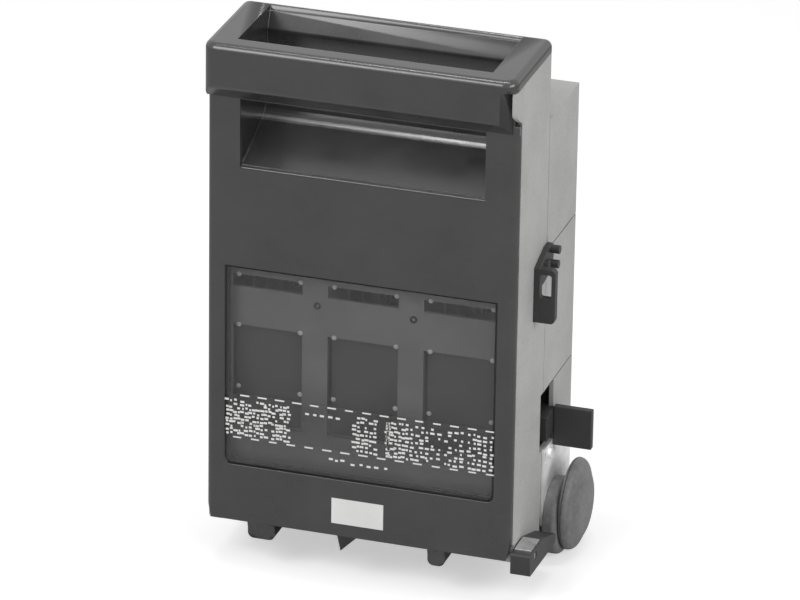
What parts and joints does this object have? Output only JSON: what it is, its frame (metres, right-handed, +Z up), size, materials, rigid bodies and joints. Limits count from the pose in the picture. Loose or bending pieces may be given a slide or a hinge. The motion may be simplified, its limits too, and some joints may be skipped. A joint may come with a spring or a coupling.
{
  "type": "fuse switch disconnector",
  "caption": "Swing-cover fuse switch disconnector with grip collar, smoky viewing pane, blade fuse-links, grey housing, padlock eye and side auxiliary switch.",
  "frame": {"origin": "centre of the four mounting holes, on the back face", "axes": "+Z up, +Y from the front cover to the mounting plate, +X to the right seen from the front"},
  "size_m": [0.2268, 0.1398, 0.3551],
  "materials": {
    "black_moulding": "glossy moulded thermoplastic",
    "grey_housing": "fine matt moulded thermoset",
    "smoky_pane": "clear smoke-tinted sheet",
    "dark_fitting": "matt moulded",
    "grey_cap": "worn matt moulded",
    "insulation": "pressed insulating board",
    "white_print": "printed film",
    "ceramic_body": "unglazed technical ceramic",
    "bright_steel": "zinc plated",
    "spring_steel": "bare spring steel",
    "silvered_copper": "silver-plated copper"
  },
  "bodies": {
    "housing": {"front_frame": "grey_housing", "rear_base": "grey_housing", "terminal_cover_top": "grey_housing", "terminal_cover_bottom": "grey_housing", "pole_partitions": "insulation", "arc_chamber_left": "insulation", "arc_chamber_middle": "insulation", "arc_chamber_right": "insulation", "arc_plates": "spring_steel", "upper_contact_bars": "silvered_copper", "lower_contact_bars": "silvered_copper", "upper_jaws": "silvered_copper", "lower_jaws": "silvered_copper", "jaw_springs": "spring_steel", "contact_screws": "bright_steel", "terminal_bolts": "bright_steel", "terminal_washers": "bright_steel", "terminal_nuts": "bright_steel", "frame_screws": "bright_steel", "mounting_bushes": "bright_steel", "padlock_eye": "dark_fitting", "padlock_screw": "bright_steel", "side_bracket": "bright_steel", "bracket_screws": "bright_steel", "side_cap": "grey_cap", "side_cap_ring": "grey_cap", "switch_housing": "dark_fitting", "switch_guide": "dark_fitting", "switch_spring": "spring_steel"},
    "swing_cover": {"cover": "black_moulding", "grip_catch": "black_moulding", "viewing_pane": "smoky_pane", "pane_gasket": "dark_fitting", "rating_plate": "white_print", "name_label": "white_print", "fuse_grid": "dark_fitting", "grid_rivets": "bright_steel", "probe_plugs": "dark_fitting", "fuse_claws": "dark_fitting", "fuse_body_left": "ceramic_body", "fuse_body_middle": "ceramic_body", "fuse_body_right": "ceramic_body", "fuse_caps_left": "silvered_copper", "fuse_caps_middle": "silvered_copper", "fuse_caps_right": "silvered_copper", "fuse_blades": "silvered_copper", "fuse_indicators": "bright_steel", "hinge_shaft": "bright_steel", "switch_arm": "dark_fitting", "arm_plate": "bright_steel"},
    "switch_button": {"switch_plunger": "dark_fitting"}
  },
  "joints": [
    {"name": "cover_swing", "type": "hinge", "parent": "housing", "child": "swing_cover", "pos_m": [0, -0.117, -0.12625], "axis": [1, 0, 0], "range_deg": [0, 65]},
    {"name": "button_press", "type": "slide", "parent": "housing", "child": "switch_button", "axis": [0, 1, 0], "range_m": [0, 0.0025], "stiffness_N_per_m": 400, "springref_m": -0.002, "deforming": ["switch_spring"]}
  ]
}
